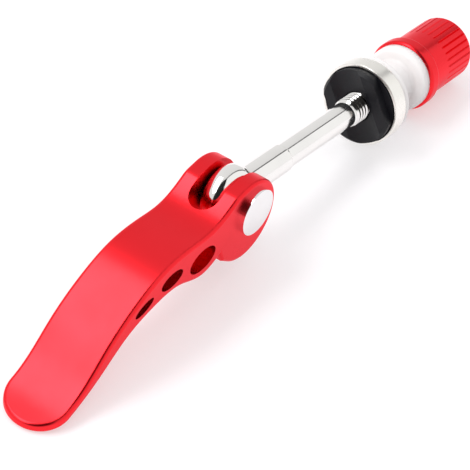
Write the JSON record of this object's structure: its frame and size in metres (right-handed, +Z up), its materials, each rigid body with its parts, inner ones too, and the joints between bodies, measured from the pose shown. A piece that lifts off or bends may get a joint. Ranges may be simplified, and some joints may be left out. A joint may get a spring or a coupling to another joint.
{
  "type": "quick release seatpost clamp skewer",
  "caption": "Quick release seat clamp skewer: cam lever on an eye bolt, cupped cam saddle, spool spacer and fluted thumb nut, lying open.",
  "frame": {"origin": "on the skewer axis at the back face of the cup washer, where the clamp sits", "axes": "+X from the lever towards the thumb nut, +Y along the pivot pin away from its head, +Z up from the table that the skewer lies on"},
  "size_m": [0.1419, 0.0178, 0.0224],
  "materials": {
    "red_anodised": "satin red anodised aluminium",
    "chromed_steel": "bright chromed steel",
    "bright_steel": "bright plated steel with a rolled thread",
    "black_plastic": "moulded black nylon",
    "white_plastic": "moulded white nylon"
  },
  "bodies": {
    "skewer": {"skewer_bolt": "bright_steel"},
    "lever": {"lever": "red_anodised", "pivot_pin": "chromed_steel"},
    "cup": {"cup_washer": "chromed_steel"},
    "saddle": {"cam_saddle": "black_plastic"},
    "spacer": {"spacer": "white_plastic"},
    "nut": {"thumb_nut": "red_anodised"}
  },
  "joints": [
    {"name": "lever_pivot", "type": "hinge", "parent": "skewer", "child": "lever", "pos_m": [-0.0512, 0, 0.00554], "axis": [0, -1, 0], "range_deg": [-50, 100]},
    {"name": "cup_slide", "type": "slide", "parent": "skewer", "child": "cup", "axis": [-0.9942, 0, 0.1075], "range_m": [0, 0.0342]},
    {"name": "saddle_swivel", "type": "hinge", "parent": "cup", "child": "saddle", "pos_m": [0, 0, 0], "axis": [0.9942, 0, -0.1075], "continuous": true},
    {"name": "spacer_slide", "type": "slide", "parent": "skewer", "child": "spacer", "axis": [0.9942, 0, -0.1075], "range_m": [0, 0.00801]},
    {"name": "nut_turn", "type": "hinge", "parent": "spacer", "child": "nut", "pos_m": [0, 0, 0], "axis": [0.9942, 0, -0.1075], "range_deg": [0, 2880]}
  ],
  "couplings": [
    {"joint": "spacer_slide", "follows": "nut_turn", "m_per_rad": 0.00015915}
  ]
}
